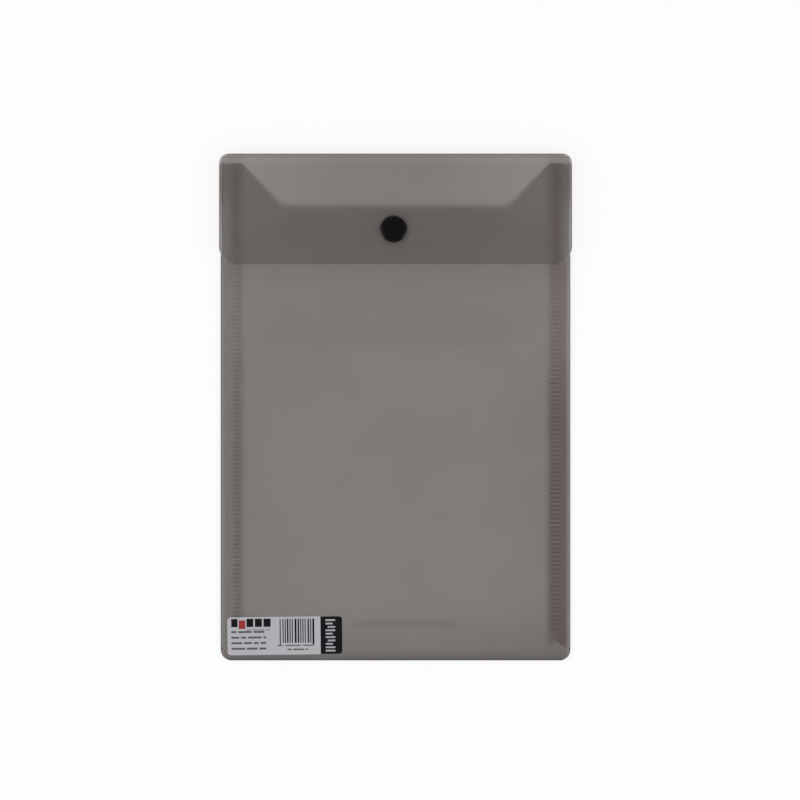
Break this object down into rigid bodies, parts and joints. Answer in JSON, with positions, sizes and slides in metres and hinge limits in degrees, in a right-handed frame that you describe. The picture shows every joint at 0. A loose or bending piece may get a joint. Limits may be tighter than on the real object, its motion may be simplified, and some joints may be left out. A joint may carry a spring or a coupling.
{
  "type": "snap-button document envelope",
  "caption": "Flat upright document envelope of smoke-grey translucent polypropylene film with a closure flap, a press stud and a paper label.",
  "frame": {"origin": "under the middle of the closed envelope, on the plane that the back panel lies on", "axes": "+X to the right seen from the front, +Y from the bottom fold to the top crease, +Z out of the front"},
  "size_m": [0.1684, 0.242, 0.008],
  "materials": {
    "smoke_film": "frosted, translucent",
    "black_plastic": "moulded, satin gloss",
    "label_paper": "coated self-adhesive paper"
  },
  "bodies": {
    "pocket": {"back_panel": "smoke_film", "front_panel": "smoke_film", "bottom_fold": "smoke_film", "side_fold_left": "smoke_film", "side_flap_left": "smoke_film", "side_fold_right": "smoke_film", "side_flap_right": "smoke_film", "snap_stud": "black_plastic", "stud_cap": "black_plastic", "label": "label_paper"},
    "spine": {"top_spine": "smoke_film"},
    "flap": {"closure_flap": "smoke_film", "snap_cap": "black_plastic", "snap_socket": "black_plastic"}
  },
  "joints": [
    {"name": "spine_crease", "type": "hinge", "parent": "pocket", "child": "spine", "pos_m": [0, 0.121, 0], "axis": [-1, 0, 0], "range_deg": [0, 87]},
    {"name": "flap_crease", "type": "hinge", "parent": "spine", "child": "flap", "pos_m": [0, 0.121, 0.0048], "axis": [-1, 0, 0], "range_deg": [0, 87]}
  ],
  "couplings": [
    {"joint": "spine_crease", "follows": "flap_crease", "ratio": 1}
  ]
}
